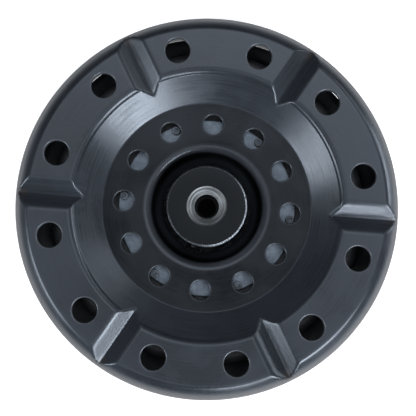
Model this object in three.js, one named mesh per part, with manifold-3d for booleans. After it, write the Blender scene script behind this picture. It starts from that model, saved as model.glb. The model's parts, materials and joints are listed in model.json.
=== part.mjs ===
// Gerotor hydraulic motor with a pressed-steel drive bell on its output hub.
// Millimetres, +Z up. The motor stands on the flat rear face of its port housing at z = 0,
// the shaft turns about the Z axis, and the bell's drive face looks up.
import * as THREE from "three";
import { mergeVertices } from "three/addons/utils/BufferGeometryUtils.js";
import Module from "manifold-3d";

const wasm = await Module();
wasm.setup();

// ---------------------------------------------------------------- driving dimensions
const GAP = 0.3; // between pieces that touch
const RUN = 0.5; // between a turning piece and a still one
const FACE_Z = 104; // top of the bell's drive face

// The bell, pressed from one sheet. Angles are in degrees, anticlockwise from +X.
const BELL = { radius: 101, sheet: 3, depth: 45, shoulder: 20, bend: 4 };
const OUTER_HOLES = { count: 12, radius: 6.5, ring: 82.6, first: 10.6 };
const INNER_HOLES = { count: 12, radius: 5.3, ring: 43.9, first: 25.6 };
const FLAT = { inner: 73, outer: 91.2 }; // the drive face's flat ring
const CONE = { top: 69, drop: 2 }; // the slope from the flat ring down to the sunk disc
const GROOVE = { count: 6, first: 55.6, depth: 5.2, halfWidth: 7, inner: 60 };
const DISC = { radius: 55.3, drop: 11.5, lip: 5 };
const WELL = { radius: 28.5, drop: 20.7, hole: 18 }; // the deep ring round the hub

// The turning parts.
const HUB = { radius: 21, seat: 22.8, flange: 28, flangeThick: 4, faceDrop: 4.5, chamfer: 1 };
const HUB_BORE = { radius: 6.4, sink: 10.4, web: 7 };
const RING_GROOVE = { depth: 1.5, width: 1.8 };
const CLIP = { thick: 1.2, bite: 1.2, outside: 23.6, gap: 2.4, gapAngle: -109 };
const CLIP_EAR = { radius: 1.6, eye: 0.8, ring: 23, spread: 8 };
const SHAFT = { radius: 12.5, collar: 14, rear: 7.5, chamfer: 1 };
const SHAFT_THREAD = { radius: 5.1, relief: 7, reliefDepth: 8, depth: 24, point: 3 };
const KEY = { width: 6, height: 6 };
const ROTOR = { lobes: 7, ring: 30, lobe: 7, offset: 2.6, outside: 37, clearance: 0.18 };
const ROTOR_GAP = 0.15; // at each face of the rotors

// The still body, from the rear face up.
const BODY_RADIUS = 62; // port housing, plates and the back of the front housing
const REAR_HOUSING_TOP = 26;
const REAR_EDGE = 1.5; // chamfer round the rear face
const PLATE = { thick: 4, hole: 13.5 }; // port plate and wear plate
const ROTOR_WIDTH = 16;
const DRUM = { radius: 83, z: 70, edge: 5, drop: 11.5, rim: 72, floor: 70, floorDrop: 20.5 };
const MOUNT_HOLES = { count: 4, first: 45, radius: 4.3, ring: 32, depth: 12 };
const PORT = { x: 18, z: 13, radius: 8.3, depth: 16, passage: 6, padY: 74, padHalf: 36, corner: 5 };
const KIDNEY = { inside: 20.5, outside: 27.5, half: 68 };
const VALVE = { z: 14, bore: 5, seat: 2.6, ball: 4, seatY: 32, ballY: 35.6, plugY: 47.5, plugEnd: 58 };
const SPRING = { y: 40.8, height: 5.7, radius: 3.3, wire: 0.5, coils: 3 };
const DRAIN = { z: 8.5, passage: 3, thread: 4.9, hex: 6.2, flange: 7.2 };
const DOWELS = { radius: 3, ring: 53, angles: [0, 180], length: 34, sunk: 6 };
const O_RING = { radius: 44, section: 1.2, groove: 1.7, depth: 2.8 };

// Bearings, seal, dust cover, dust shield and screws.
const FRONT_BEARING = { z: 52, width: 15, inside: 12.5, outside: 26, balls: 7, ball: 3.7 };
const REAR_BEARING = { z: 12, width: 11, inside: 7.5, outside: 17.5, balls: 7, ball: 2.9 };
const SEAL = { inside: SHAFT.collar + RUN, outside: 23, z: 67.2, width: 7, lip: 1.6, wall: 3 };
const FELT_RING = { inside: WELL.radius + BELL.sheet + RUN, outside: 40.2, thick: 3.2 };
const FELT_GROOVE = { inside: 35.5, outside: 40.5, depth: 3.5 };
const COVER = { inside: 34, outside: 47, thick: 3, screws: 6, ring: 44.5, first: 51.6 };
const SHIELD = { z: 67.5, sheet: 2, inside: 62.6, outside: 96.5, bend: 5, rim: 60, screws: 4, ring: 72 };
const COVER_SCREW = { radius: 1.25, length: 7, head: 2.25, headHeight: 1.6, socket: 1.1 };
const SHIELD_SCREW = { radius: 2, length: 8, head: 3.6, headHeight: 2.4, socket: 1.5 };
const BOLT = { radius: 4, length: 58, head: 6.5, headHeight: 7.5, socket: 3.4 };
const BOLTS = { count: 6, ring: 53, first: 30, sunk: 8 };

// Heights that follow from them.
const PORT_PLATE_Z = REAR_HOUSING_TOP;
const ROTOR_Z = PORT_PLATE_Z + PLATE.thick;
const WEAR_PLATE_Z = ROTOR_Z + ROTOR_WIDTH;
const FRONT_HOUSING_Z = WEAR_PLATE_Z + PLATE.thick;
const DISC_Z = FACE_Z - DISC.drop;
const WELL_Z = FACE_Z - WELL.drop;
const RING_GROOVE_Z = WELL_Z + GAP;
const HUB_FACE_Z = FACE_Z - HUB.faceDrop;
const HUB_SEAT_Z = WELL_Z - BELL.sheet - GAP; // top of the hub's flange, under the bell
const HUB_BASE_Z = HUB_SEAT_Z - HUB.flangeThick;
const SHAFT_TOP_Z = HUB_FACE_Z - HUB_BORE.web - GAP;
const DRUM_TOP_Z = FACE_Z - DRUM.drop;
const DRUM_FLOOR_Z = FACE_Z - DRUM.floorDrop;
const FRONT_POCKET_Z = HUB_BASE_Z - 1.5;
const SEAL_SHOULDER_Z = FRONT_BEARING.z + FRONT_BEARING.width + GAP;
const COVER_SCREW_Z = DRUM_FLOOR_Z + COVER.thick + GAP;
const HUB_KEY = { z: HUB_BASE_Z + 0.7, length: 8 };
const ROTOR_KEY = { z: ROTOR_Z + 1, length: ROTOR_WIDTH - 2 };

const SIDES = { bell: 48, large: 32, medium: 16, hole: 12, small: 8, rotor: 40 }; // facets of round shapes

// ---------------------------------------------------------------- finishes
const finish = (color, roughness, metalness) =>
  new THREE.MeshStandardMaterial({ color, roughness, metalness });
const COATED = finish(0x181c22, 0.38, 0.5);
const CAST = finish(0x1c1e21, 0.6, 0.3);
const STEEL = finish(0xb9bcc0, 0.35, 1);
const PLATED = finish(0xa6b1bd, 0.4, 0.8);
const BEARING_STEEL = finish(0xd2d4d6, 0.2, 1);
const RUBBER = finish(0x141414, 0.85, 0);
const BLACK_OXIDE = finish(0x222326, 0.45, 0.8);
const FELT = finish(0x5a564e, 0.95, 0);

// ---------------------------------------------------------------- helpers
const radians = THREE.MathUtils.degToRad;
const degrees = THREE.MathUtils.radToDeg;
const polar = (radius, degrees) => [
  radius * Math.cos(radians(degrees)),
  radius * Math.sin(radians(degrees)),
];
const turns = (count, first = 0) =>
  Array.from({ length: count }, (_, k) => first + (360 * k) / count);

// A closed geometry as a solid that can be joined and cut.
function solid(geometry) {
  const bare = geometry.clone();
  bare.deleteAttribute("normal");
  bare.deleteAttribute("uv");
  const merged = mergeVertices(bare, 1e-4);
  return new wasm.Manifold(
    new wasm.Mesh({
      numProp: 3,
      vertProperties: merged.attributes.position.array,
      triVerts: new Uint32Array(merged.index.array),
    }),
  );
}

function geometryOf(made) {
  const mesh = made.getMesh();
  const position = new THREE.BufferAttribute(mesh.vertProperties, 3);
  const geometry = new THREE.BufferGeometry();
  geometry.setAttribute("position", position);
  geometry.setIndex(new THREE.BufferAttribute(mesh.triVerts, 1));
  const flat = geometry.toNonIndexed();
  flat.computeVertexNormals();
  return flat;
}

// Points along an arc in the (radius, z) plane or in plan, ends included.
function arc(x, y, radius, fromDegrees, toDegrees, steps) {
  return Array.from({ length: steps + 1 }, (_, k) => {
    const [dx, dy] = polar(radius, fromDegrees + ((toDegrees - fromDegrees) * k) / steps);
    return [x + dx, y + dy];
  });
}

// A solid turned about Z from an anticlockwise (radius, z) profile.
function turned(profile, segments = SIDES.large) {
  const points = profile.map(([r, z]) => new THREE.Vector2(Math.max(r, 0), z));
  const onAxis = profile[0][0] === 0 && profile.at(-1)[0] === 0;
  if (!onAxis) points.push(points[0].clone());
  return solid(new THREE.LatheGeometry(points, segments).rotateX(Math.PI / 2));
}

const tube = (inside, outside, z, height, segments = SIDES.large) =>
  turned([[inside, z], [outside, z], [outside, z + height], [inside, z + height]], segments);

const rod = (radius, z, height, segments = SIDES.medium) =>
  turned([[0, z], [radius, z], [radius, z + height], [0, z + height]], segments);

function prism(outline, z, height) {
  const shape = new THREE.Shape(outline.map(([x, y]) => new THREE.Vector2(x, y)));
  const geometry = new THREE.ExtrudeGeometry(shape, { depth: height, bevelEnabled: false });
  return solid(geometry.translate(0, 0, z));
}

const block = (x, y, z, width, depth, height) =>
  solid(new THREE.BoxGeometry(width, depth, height).translate(x, y, z));

const ball = (radius, segments = 10) =>
  solid(new THREE.SphereGeometry(radius, segments, segments / 2).rotateX(Math.PI / 2));

const joined = (solids) => solids.reduce((all, one) => all.add(one));
const cut = (from, ...tools) => tools.reduce((rest, tool) => rest.subtract(tool), from);
const at = (made, [x, y], z = 0) => made.translate([x, y, z]);

// A tool that lies along Z is laid along +Y, its z = 0 end at (x, 0, z).
const alongY = (made, x, z) => made.rotate([-90, 0, 0]).translate([x, 0, z]);

// A tool that lies along Z is laid along -X at the drain's height.
const outOfSide = (made) => made.rotate([0, -90, 0]).translate([0, 0, DRAIN.z]);

// Copies of a tool on a bolt circle.
const onCircle = (tool, ring, degrees) =>
  joined(degrees.map((angle) => at(tool, polar(ring, angle))));

// The same outline moved sideways by a distance, to the right of its direction.
function offset(path, distance) {
  const normal = (a, b) => {
    const length = Math.hypot(b[0] - a[0], b[1] - a[1]);
    return [(b[1] - a[1]) / length, (a[0] - b[0]) / length];
  };
  return path.map((point, k) => {
    const before = normal(path[Math.max(k - 1, 0)], path[Math.max(k, 1)]);
    const after = normal(path[Math.min(k, path.length - 2)], path[Math.min(k + 1, path.length - 1)]);
    const sum = [before[0] + after[0], before[1] + after[1]];
    const scale = (2 * distance) / (sum[0] ** 2 + sum[1] ** 2);
    return [point[0] + sum[0] * scale, point[1] + sum[1] * scale];
  });
}

const motor = new THREE.Group();
function add(name, made, material) {
  const mesh = new THREE.Mesh(geometryOf(made), material);
  mesh.name = name;
  motor.add(mesh);
}

// ---------------------------------------------------------------- drive bell
// Outer surface from the rim up the wall, over the drive face and down into the well.
// The wide shoulder arc runs into the flat ring's smaller bend where their tangents agree.
function bellSurface() {
  const reach = BELL.shoulder - BELL.bend;
  const centre = BELL.radius - BELL.shoulder;
  const meet = degrees(Math.acos((FLAT.outer - centre) / reach));
  const centreZ = FACE_Z - BELL.bend - reach * Math.sin(radians(meet));
  return [
    [BELL.radius, FACE_Z - BELL.depth],
    ...arc(centre, centreZ, BELL.shoulder, 0, meet, 3),
    [FLAT.outer, FACE_Z],
    [FLAT.inner, FACE_Z],
    [CONE.top, FACE_Z - CONE.drop],
    [DISC.radius, DISC_Z],
    ...arc(WELL.radius + DISC.lip, DISC_Z - DISC.lip, DISC.lip, 90, 180, 2),
    [WELL.radius, WELL_Z],
  ];
}

// A straight V-groove along +X whose bottom line lies the given depth under the drive face.
function grooveTool(depth) {
  const top = 4;
  const slope = GROOVE.halfWidth / GROOVE.depth;
  const half = (depth + top) * slope;
  const length = BELL.radius - GROOVE.inner + 1;
  const vee = prism([[-half, top], [0, -depth], [half, top]], GROOVE.inner, length);
  return vee.rotate([90, 0, 90]).translate([0, 0, FACE_Z]);
}

// The eight-sided seat that drives the bell; the bell's hole is larger by the clearance.
const driveSeat = (z, height, clearance) => rod(HUB.seat + clearance, z, height, 8);

function driveBell() {
  const surface = bellSurface();
  const inside = offset(surface, -BELL.sheet);
  const rimZ = FACE_Z - BELL.depth;
  const outerBody = turned([[WELL.hole, rimZ], ...surface, [WELL.hole, WELL_Z]], SIDES.bell);
  const under = inside.map(([r, z], k) => [r, k === 0 ? rimZ - 1 : z]);
  const core = WELL.hole - 1;
  const cavity = turned([[core, rimZ - 1], ...under, [core, WELL_Z - BELL.sheet]], SIDES.bell);
  const grooves = turns(GROOVE.count, GROOVE.first);
  const slant = Math.hypot(1, GROOVE.depth / GROOVE.halfWidth);
  const groove = grooveTool(GROOVE.depth);
  const ridge = grooveTool(GROOVE.depth + BELL.sheet * slant);
  const cutGrooves = grooves.map((angle) => groove.rotate([0, 0, angle]));
  const cutRidges = grooves.map((angle) => ridge.rotate([0, 0, angle]));
  const pressed = cut(outerBody, ...cutGrooves).subtract(cut(cavity, ...cutRidges));
  const hole = ({ radius, ring, count, first }, z) =>
    onCircle(rod(radius, z - 8, 12, SIDES.hole), ring, turns(count, first));
  return cut(
    pressed,
    hole(OUTER_HOLES, FACE_Z),
    hole(INNER_HOLES, DISC_Z),
    driveSeat(WELL_Z - 8, 12, GAP),
  );
}

// ---------------------------------------------------------------- hub, shaft and keys
function keySlot(z, length, clearance) {
  const width = KEY.width + 2 * clearance;
  const height = KEY.height + 2 * clearance;
  return block(SHAFT.radius - 0.5, 0, z + length / 2, height, width, length + 2 * clearance);
}

function hub() {
  const body = turned([
    [SHAFT.radius + GAP, HUB_BASE_Z],
    [HUB.flange, HUB_BASE_Z],
    [HUB.flange, HUB_SEAT_Z],
    [HUB.radius, HUB_SEAT_Z],
    [HUB.radius, RING_GROOVE_Z],
    [HUB.radius - RING_GROOVE.depth, RING_GROOVE_Z],
    [HUB.radius - RING_GROOVE.depth, RING_GROOVE_Z + RING_GROOVE.width],
    [HUB.radius, RING_GROOVE_Z + RING_GROOVE.width],
    [HUB.radius, HUB_FACE_Z - HUB.chamfer],
    [HUB.radius - HUB.chamfer, HUB_FACE_Z],
    [HUB_BORE.sink, HUB_FACE_Z],
    [HUB_BORE.radius, HUB_FACE_Z - (HUB_BORE.sink - HUB_BORE.radius)],
    [HUB_BORE.radius, HUB_FACE_Z - HUB_BORE.web],
    [SHAFT.radius + GAP, HUB_FACE_Z - HUB_BORE.web],
  ]);
  const seat = driveSeat(HUB_SEAT_Z - 1, BELL.sheet + 1, 0)
    .subtract(rod(HUB.radius - 1, HUB_SEAT_Z - 2, 12, SIDES.large));
  return body.add(seat).subtract(keySlot(HUB_BASE_Z - 5, SHAFT_TOP_Z - HUB_BASE_Z + 4, GAP));
}

function hubRetainingRing() {
  const z = RING_GROOVE_Z + GAP;
  const sides = [-1, 1].map((side) => CLIP.gapAngle + side * CLIP_EAR.spread);
  const ring = tube(HUB.radius - CLIP.bite, CLIP.outside, z, CLIP.thick);
  const ears = onCircle(rod(CLIP_EAR.radius, z, CLIP.thick, SIDES.small), CLIP_EAR.ring, sides);
  const eyes = onCircle(rod(CLIP_EAR.eye, z - 1, 4, SIDES.small), CLIP_EAR.ring, sides);
  const opening = block(CLIP.outside - 2, 0, z, 8, CLIP.gap, 6).rotate([0, 0, CLIP.gapAngle]);
  return cut(ring.add(ears), eyes, opening);
}

function outputShaft() {
  const collarTop = HUB_BASE_Z - GAP;
  const threadEnd = SHAFT_TOP_Z - SHAFT_THREAD.depth;
  const body = turned([
    [0, REAR_BEARING.z - 3],
    [SHAFT.rear, REAR_BEARING.z - 3],
    [SHAFT.rear, PORT_PLATE_Z - 2.5],
    [SHAFT.radius, PORT_PLATE_Z - 2.5],
    [SHAFT.radius, SEAL_SHOULDER_Z],
    [SHAFT.collar, SEAL_SHOULDER_Z],
    [SHAFT.collar, collarTop],
    [SHAFT.radius, collarTop],
    [SHAFT.radius, SHAFT_TOP_Z - SHAFT.chamfer],
    [SHAFT.radius - SHAFT.chamfer, SHAFT_TOP_Z],
    [SHAFT_THREAD.relief, SHAFT_TOP_Z],
    [SHAFT_THREAD.relief, SHAFT_TOP_Z - SHAFT_THREAD.reliefDepth],
    [SHAFT_THREAD.radius, SHAFT_TOP_Z - SHAFT_THREAD.reliefDepth],
    [SHAFT_THREAD.radius, threadEnd],
    [0, threadEnd - SHAFT_THREAD.point],
  ], 24);
  const hubSlot = keySlot(HUB_KEY.z, HUB_KEY.length, GAP);
  const rotorSlot = keySlot(ROTOR_KEY.z, ROTOR_KEY.length, GAP);
  return cut(body, hubSlot, rotorSlot);
}

function key({ z, length }) {
  return block(SHAFT.radius - 0.5, 0, z + length / 2, KEY.height, KEY.width, length);
}

// ---------------------------------------------------------------- gerotor set
// The inner rotor's outline is the curve that a lobe's centre draws, moved in by the lobe's radius.
function innerRotorOutline(steps = 108) {
  const { lobes, ring, lobe, offset: away, clearance } = ROTOR;
  return Array.from({ length: steps }, (_, k) => {
    const a = (2 * Math.PI * k) / steps;
    const x = ring * Math.cos(a) - away * Math.cos(lobes * a);
    const y = ring * Math.sin(a) - away * Math.sin(lobes * a);
    const dx = -ring * Math.sin(a) + away * lobes * Math.sin(lobes * a);
    const dy = ring * Math.cos(a) - away * lobes * Math.cos(lobes * a);
    const inwards = (lobe + clearance) / Math.hypot(dx, dy);
    return [x - dy * inwards, y + dx * inwards];
  });
}

// The outer rotor's chamber: a circle with round lobes standing into it.
function outerChamberOutline(steps = 126) {
  const { lobes, ring, lobe, offset: away, clearance } = ROTOR;
  const root = ring + 2 * away - lobe + clearance;
  const pitch = (2 * Math.PI) / lobes;
  return Array.from({ length: steps }, (_, k) => {
    const a = (2 * Math.PI * k) / steps;
    const fromLobe = a - pitch * Math.round(a / pitch);
    const side = ring * Math.sin(fromLobe);
    const reach = lobe > Math.abs(side) ? Math.sqrt(lobe ** 2 - side ** 2) : 0;
    const edge = reach ? ring * Math.cos(fromLobe) - reach : root;
    const radius = Math.min(root, edge);
    return [radius * Math.cos(a), radius * Math.sin(a)];
  });
}

const rotorPrism = (outline) => prism(outline, ROTOR_Z + ROTOR_GAP, ROTOR_WIDTH - 2 * ROTOR_GAP);

function innerRotor() {
  const bore = rod(SHAFT.radius + GAP, ROTOR_Z - 1, ROTOR_WIDTH + 2, 24);
  const slot = keySlot(ROTOR_Z - 4, ROTOR_WIDTH + 8, GAP);
  return cut(rotorPrism(innerRotorOutline()).rotate([0, 0, -90]), bore, slot);
}

function outerRotor() {
  const disc = rod(ROTOR.outside, ROTOR_Z + ROTOR_GAP, ROTOR_WIDTH - 2 * ROTOR_GAP, SIDES.rotor);
  const chamber = prism(outerChamberOutline(), ROTOR_Z - 1, ROTOR_WIDTH + 2);
  return disc.subtract(chamber).rotate([0, 0, -90]).translate([0, ROTOR.offset, 0]);
}

// ---------------------------------------------------------------- housings and plates
const BOLT_ANGLES = turns(BOLTS.count, BOLTS.first);
const bodyHoles = (z, height) => [
  onCircle(rod(BOLT.radius + GAP, z, height, SIDES.small), BOLTS.ring, BOLT_ANGLES),
  onCircle(rod(DOWELS.radius + GAP, z, height, SIDES.small), DOWELS.ring, DOWELS.angles),
];

// A kidney slot on the +X side, for the oil to reach the rotors' chambers.
function kidney(z, height) {
  const { inside, outside, half } = KIDNEY;
  return prism([...arc(0, 0, outside, -half, half, 7), ...arc(0, 0, inside, half, -half, 6)], z, height);
}
const kidneys = (z, height) => {
  const right = kidney(z, height);
  return right.add(right.rotate([0, 0, 180]));
};

function rotorRing() {
  const ring = rod(BODY_RADIUS, ROTOR_Z + GAP / 2, ROTOR_WIDTH - GAP, SIDES.large);
  const seat = rod(ROTOR.outside + 0.25, ROTOR_Z - 1, ROTOR_WIDTH + 2, SIDES.rotor);
  const bore = seat.translate([0, ROTOR.offset, 0]);
  return cut(ring, bore, ...bodyHoles(ROTOR_Z - 1, ROTOR_WIDTH + 2));
}

function sidePlate(z) {
  const plate = rod(BODY_RADIUS, z + GAP / 2, PLATE.thick - GAP, SIDES.large);
  return cut(plate, rod(PLATE.hole, z - 1, PLATE.thick + 2), ...bodyHoles(z - 1, PLATE.thick + 2));
}

const oRing = (z) => turned(arc(O_RING.radius, z, O_RING.section, -90, 180, 3));
const oRingGroove = (z) =>
  tube(O_RING.radius - O_RING.groove, O_RING.radius + O_RING.groove, z, O_RING.depth + 1);

// Stepped bore along Y for a work port: thread mouth, then a passage to the kidney.
function portBore(side) {
  const floor = PORT.padY - PORT.depth;
  const mouth = rod(PORT.radius, floor, PORT.depth + 4);
  const passage = rod(PORT.passage, PORT.x, floor - PORT.x + 2, SIDES.small);
  return alongY(mouth.add(passage), side * PORT.x, PORT.z).rotate([0, 0, 180]);
}

function checkValveBore(side) {
  const seat = rod(VALVE.seat, 16, 20, SIDES.small);
  const bore = rod(VALVE.bore, VALVE.seatY, 40, SIDES.small);
  return alongY(seat.add(bore), side * PORT.x, VALVE.z);
}

function rearHousing() {
  const round = turned([
    [0, 0],
    [BODY_RADIUS - REAR_EDGE, 0],
    [BODY_RADIUS, REAR_EDGE],
    [BODY_RADIUS, REAR_HOUSING_TOP],
    [0, REAR_HOUSING_TOP],
  ]);
  const { padHalf, padY, corner } = PORT;
  const pad = prism([
    ...arc(padHalf - corner, corner - padY, corner, -90, 0, 2),
    [padHalf, -BODY_RADIUS / 2],
    [-padHalf, -BODY_RADIUS / 2],
    ...arc(corner - padHalf, corner - padY, corner, 180, 270, 2),
  ], 0, REAR_HOUSING_TOP);
  const bearingSeat = rod(REAR_BEARING.outside + GAP, REAR_BEARING.z, 20, 24);
  const shaftPocket = rod(14, REAR_BEARING.z - 6, 10);
  const drain = outOfSide(rod(DRAIN.passage, 12, 60, SIDES.small));
  const drainMouth = outOfSide(rod(DRAIN.thread + GAP, 48, 20, SIDES.small));
  const counterbore = rod(BOLT.head + 2 * GAP, -1, BOLTS.sunk + 2, SIDES.small);
  const mountHole = rod(MOUNT_HOLES.radius, -1, MOUNT_HOLES.depth + 1, SIDES.small);
  return cut(
    round.add(pad),
    bearingSeat,
    shaftPocket,
    kidneys(PORT.z - 3.4, 20),
    ...[-1, 1].map(portBore),
    ...[-1, 1].map(checkValveBore),
    drain,
    drainMouth,
    oRingGroove(REAR_HOUSING_TOP - O_RING.depth),
    ...bodyHoles(BOLTS.sunk, 30),
    onCircle(counterbore, BOLTS.ring, BOLT_ANGLES),
    onCircle(mountHole, MOUNT_HOLES.ring, turns(MOUNT_HOLES.count, MOUNT_HOLES.first)),
  );
}

function frontHousing() {
  const { radius, edge } = DRUM;
  const body = turned([
    [FRONT_BEARING.outside + GAP, FRONT_HOUSING_Z],
    [BODY_RADIUS, FRONT_HOUSING_Z],
    [BODY_RADIUS, DRUM.z],
    [radius, DRUM.z],
    ...arc(radius - edge, DRUM_TOP_Z - edge, edge, 0, 90, 2),
    [DRUM.rim, DRUM_TOP_Z],
    [DRUM.floor, DRUM_FLOOR_Z],
    [FELT_GROOVE.outside, DRUM_FLOOR_Z],
    [FELT_GROOVE.outside, DRUM_FLOOR_Z - FELT_GROOVE.depth],
    [FELT_GROOVE.inside, DRUM_FLOOR_Z - FELT_GROOVE.depth],
    [FELT_GROOVE.inside, FRONT_POCKET_Z],
    [SEAL.outside + GAP, FRONT_POCKET_Z],
    [SEAL.outside + GAP, SEAL_SHOULDER_Z],
    [FRONT_BEARING.outside + GAP, SEAL_SHOULDER_Z],
  ]);
  const boltHole = rod(BOLT.radius + GAP, FRONT_HOUSING_Z - 1, 19, SIDES.small);
  const dowelHole = rod(DOWELS.radius + GAP, FRONT_HOUSING_Z - 1, 7, SIDES.small);
  const screwHole = rod(COVER_SCREW.radius + GAP, DRUM_FLOOR_Z - COVER_SCREW.length, 10, SIDES.small);
  const shieldHole = rod(SHIELD_SCREW.radius + GAP, SHIELD.z - 1.5, 12, SIDES.small);
  return cut(
    body,
    oRingGroove(FRONT_HOUSING_Z - 1),
    onCircle(boltHole, BOLTS.ring, BOLT_ANGLES),
    onCircle(dowelHole, DOWELS.ring, DOWELS.angles),
    onCircle(screwHole, COVER.ring, turns(COVER.screws, COVER.first)),
    onCircle(shieldHole, SHIELD.ring, turns(SHIELD.screws, 45)),
  );
}

// ---------------------------------------------------------------- bearings and seals
function race(bearing, inner) {
  const middle = bearing.z + bearing.width / 2;
  const pitch = (bearing.inside + bearing.outside) / 2;
  const wall = bearing.ball * 0.72;
  const track = bearing.ball + 0.5;
  const half = (Math.acos(wall / track) * 180) / Math.PI;
  const low = bearing.z + GAP / 2;
  const high = bearing.z + bearing.width - GAP / 2;
  if (inner) {
    const edge = pitch - wall;
    return turned([
      [bearing.inside + GAP, low],
      [edge, low],
      ...arc(pitch, middle, track, 180 + half, 180 - half, 3),
      [edge, high],
      [bearing.inside + GAP, high],
    ], SIDES.medium);
  }
  const edge = pitch + wall;
  return turned([
    [edge, low],
    [bearing.outside, low],
    [bearing.outside, high],
    [edge, high],
    ...arc(pitch, middle, track, half, -half, 3),
  ], SIDES.medium);
}

function ballSet(bearing) {
  const middle = bearing.z + bearing.width / 2;
  const pitch = (bearing.inside + bearing.outside) / 2;
  const balls = onCircle(ball(bearing.ball, 8), pitch, turns(bearing.balls));
  return tube(pitch - 0.9, pitch + 0.9, -1.4, 2.8, bearing.balls * 2).add(balls).translate([0, 0, middle]);
}

// Its lip leans in towards the shaft's collar.
function shaftSeal() {
  return turned([
    [SEAL.inside + SEAL.lip, SEAL.z + GAP],
    [SEAL.outside, SEAL.z + GAP],
    [SEAL.outside, SEAL.z + SEAL.width],
    [SEAL.inside + SEAL.wall, SEAL.z + SEAL.width],
    [SEAL.inside + SEAL.wall - 0.6, SEAL.z + SEAL.width / 2],
    [SEAL.inside, SEAL.z + SEAL.width / 3],
  ], 24);
}

// ---------------------------------------------------------------- screws, cover and shield
// A socket head screw with its head's underside at z = 0 and its thread below.
function socketScrew({ radius, length, head, headHeight, socket }) {
  const body = turned([
    [0, -length],
    [radius, -length],
    [radius, 0],
    [head, 0],
    [head, headHeight],
    [0, headHeight],
  ], SIDES.small);
  return body.subtract(rod(socket, headHeight * 0.4, headHeight, 6));
}

const dustRing = () =>
  tube(FELT_RING.inside, FELT_RING.outside, DRUM_FLOOR_Z - FELT_RING.thick, FELT_RING.thick);

function dustCover() {
  const z = DRUM_FLOOR_Z + GAP;
  const plate = tube(COVER.inside, COVER.outside, z, COVER.thick - GAP);
  const hole = rod(COVER_SCREW.radius + GAP, z - 1, 6, SIDES.small);
  return plate.subtract(onCircle(hole, COVER.ring, turns(COVER.screws, COVER.first)));
}

function dustShield() {
  const { z, sheet, inside, outside, bend, rim } = SHIELD;
  const centre = [outside - bend, z + sheet - bend];
  const body = turned([
    [inside, z],
    ...arc(...centre, bend - sheet, 90, 0, 1),
    [outside - sheet, rim],
    [outside, rim],
    ...arc(...centre, bend, 0, 90, 1),
    [inside, z + sheet],
  ]);
  const hole = rod(SHIELD_SCREW.radius + GAP, z - 1, 6, SIDES.small);
  return body.subtract(onCircle(hole, SHIELD.ring, turns(SHIELD.screws, 45)));
}

// ---------------------------------------------------------------- check valves and plugs
class Helix extends THREE.Curve {
  constructor(radius, height, coils) {
    super();
    Object.assign(this, { radius, height, coils });
  }
  getPoint(t, target = new THREE.Vector3()) {
    const [x, y] = polar(this.radius, 360 * this.coils * t);
    return target.set(x, y, this.height * t);
  }
}

function checkSpring() {
  const section = arc(0, 0, SPRING.wire, 0, 288, 4).map((p) => new THREE.Vector2(...p));
  const path = new Helix(SPRING.radius, SPRING.height, SPRING.coils);
  const options = { steps: SPRING.coils * 8, extrudePath: path, bevelEnabled: false };
  const wire = new THREE.ExtrudeGeometry(new THREE.Shape(section), options);
  return solid(wire).translate([0, 0, SPRING.y]);
}

const checkPlug = () =>
  rod(VALVE.bore - GAP, VALVE.plugY, VALVE.plugEnd - VALVE.plugY, SIDES.small)
    .subtract(rod(2.3, VALVE.plugEnd - 4, 8, 6));

function drainPlug() {
  const head = rod(DRAIN.hex, BODY_RADIUS + 1, 5, 6).add(rod(DRAIN.thread, 50, 13, SIDES.small));
  return outOfSide(head.add(rod(DRAIN.flange, BODY_RADIUS + GAP, 1.2)));
}

// ---------------------------------------------------------------- assembly
add("drive_bell", driveBell(), COATED);
add("hub", hub(), COATED);
add("hub_retaining_ring", hubRetainingRing(), BLACK_OXIDE);
add("output_shaft", outputShaft(), STEEL);
add("hub_key", key(HUB_KEY), STEEL);
add("rotor_key", key(ROTOR_KEY), STEEL);
add("inner_rotor", innerRotor(), STEEL);
add("outer_rotor", outerRotor(), STEEL);
add("rotor_ring", rotorRing(), CAST);
add("port_plate", sidePlate(PORT_PLATE_Z).subtract(kidneys(PORT_PLATE_Z - 1, 6)), STEEL);
add("wear_plate", sidePlate(WEAR_PLATE_Z), STEEL);
add("rear_housing", rearHousing(), CAST);
add("front_housing", frontHousing(), CAST);
for (const [name, bearing] of [["front", FRONT_BEARING], ["rear", REAR_BEARING]]) {
  add(`${name}_bearing_inner_race`, race(bearing, true), BEARING_STEEL);
  add(`${name}_bearing_outer_race`, race(bearing, false), BEARING_STEEL);
  add(`${name}_bearing_balls_and_cage`, ballSet(bearing), BEARING_STEEL);
}
add("shaft_seal", shaftSeal(), RUBBER);
add("dust_ring", dustRing(), FELT);
add("dust_cover", dustCover(), PLATED);
add("dust_shield", dustShield(), COATED);
add("front_o_ring", oRing(FRONT_HOUSING_Z + O_RING.depth / 2), RUBBER);
add("rear_o_ring", oRing(REAR_HOUSING_TOP - O_RING.depth / 2), RUBBER);
turns(COVER.screws, COVER.first).forEach((angle, k) => {
  const screw = at(socketScrew(COVER_SCREW), polar(COVER.ring, angle), COVER_SCREW_Z);
  add(`cover_screw_${k + 1}`, screw, PLATED);
});
turns(SHIELD.screws, 45).forEach((angle, k) => {
  const screw = socketScrew(SHIELD_SCREW).rotate([180, 0, 0]);
  add(`shield_screw_${k + 1}`, at(screw, polar(SHIELD.ring, angle), SHIELD.z - GAP), BLACK_OXIDE);
});
BOLT_ANGLES.forEach((angle, k) => {
  const bolt = socketScrew(BOLT).rotate([180, 0, 0]);
  add(`housing_bolt_${k + 1}`, at(bolt, polar(BOLTS.ring, angle), BOLTS.sunk), BLACK_OXIDE);
});
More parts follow.
